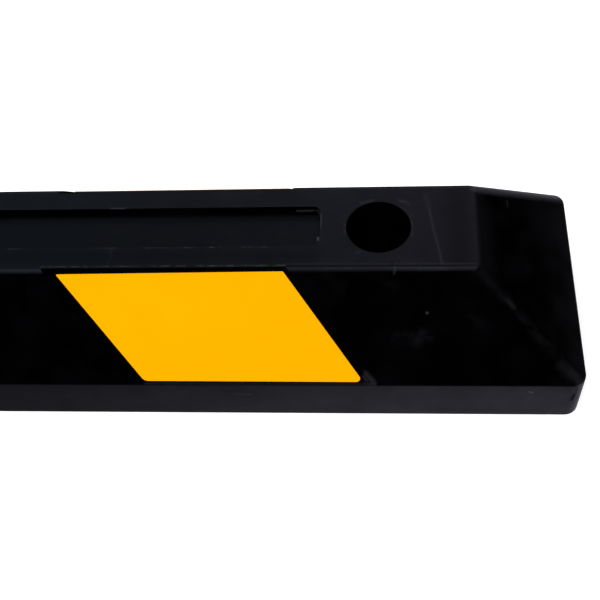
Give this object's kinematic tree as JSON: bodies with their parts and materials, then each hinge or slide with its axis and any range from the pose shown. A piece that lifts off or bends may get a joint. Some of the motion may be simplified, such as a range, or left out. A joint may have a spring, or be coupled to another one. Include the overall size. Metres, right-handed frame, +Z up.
{
  "type": "wheel stop",
  "caption": "Low bolt-down rubber wheel stop for a parking bay: a moulded block with sloped sides and ends, a recessed flat top, counterbored anchor holes and inlaid yellow marker panels.",
  "frame": {"origin": "on the floor, below the middle of the block", "axes": "+X along the block, +Y across it, +Z up; the long face towards -Y is the one that the picture shows"},
  "size_m": [0.915, 0.15, 0.1],
  "materials": {
    "black_rubber": "moulded, satin",
    "yellow_marker": "smooth matte film on a thin plate"
  },
  "bodies": {
    "root": {"body": "black_rubber", "panel_front_right": "yellow_marker", "panel_front_left": "yellow_marker", "panel_rear_right": "yellow_marker", "panel_rear_left": "yellow_marker"}
  },
  "joints": []
}
